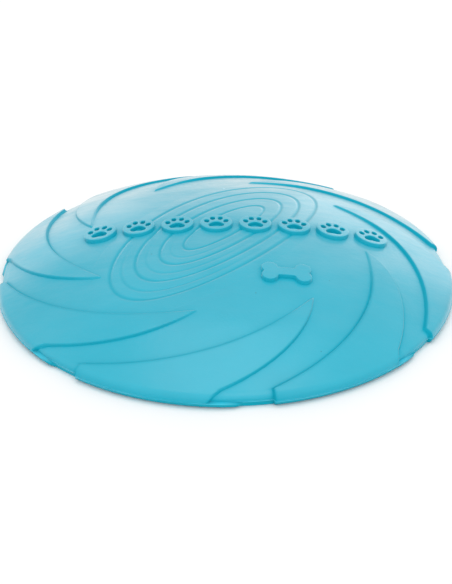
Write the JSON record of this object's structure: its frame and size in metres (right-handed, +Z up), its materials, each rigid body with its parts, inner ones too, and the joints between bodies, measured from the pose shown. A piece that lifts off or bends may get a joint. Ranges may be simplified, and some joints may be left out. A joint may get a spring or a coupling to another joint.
{
  "type": "flying disc",
  "caption": "Shallow domed rubber flying disc with a swirl of raised curved blades, low ripples round the middle and a row of paw-print badges.",
  "frame": {"origin": "centre of the disc, on the plane that its rim rests on", "axes": "+Z up through the crown of the dome; +X along the row of raised marks, in reading order; +Y across the row, away from the small bone"},
  "size_m": [0.18, 0.18, 0.0235],
  "materials": {
    "rubber": "satin"
  },
  "bodies": {
    "root": {"flight_plate": "rubber", "rim_bead": "rubber", "blade_1": "rubber", "blade_2": "rubber", "blade_3": "rubber", "blade_4": "rubber", "blade_5": "rubber", "blade_6": "rubber", "blade_7": "rubber", "blade_8": "rubber", "ripple_1": "rubber", "ripple_2": "rubber", "ripple_3": "rubber", "ripple_core": "rubber", "paw_print_1": "rubber", "paw_print_2": "rubber", "paw_print_3": "rubber", "paw_print_4": "rubber", "paw_print_5": "rubber", "paw_print_6": "rubber", "paw_print_7": "rubber", "paw_print_8": "rubber", "bone_mark": "rubber"}
  },
  "joints": []
}
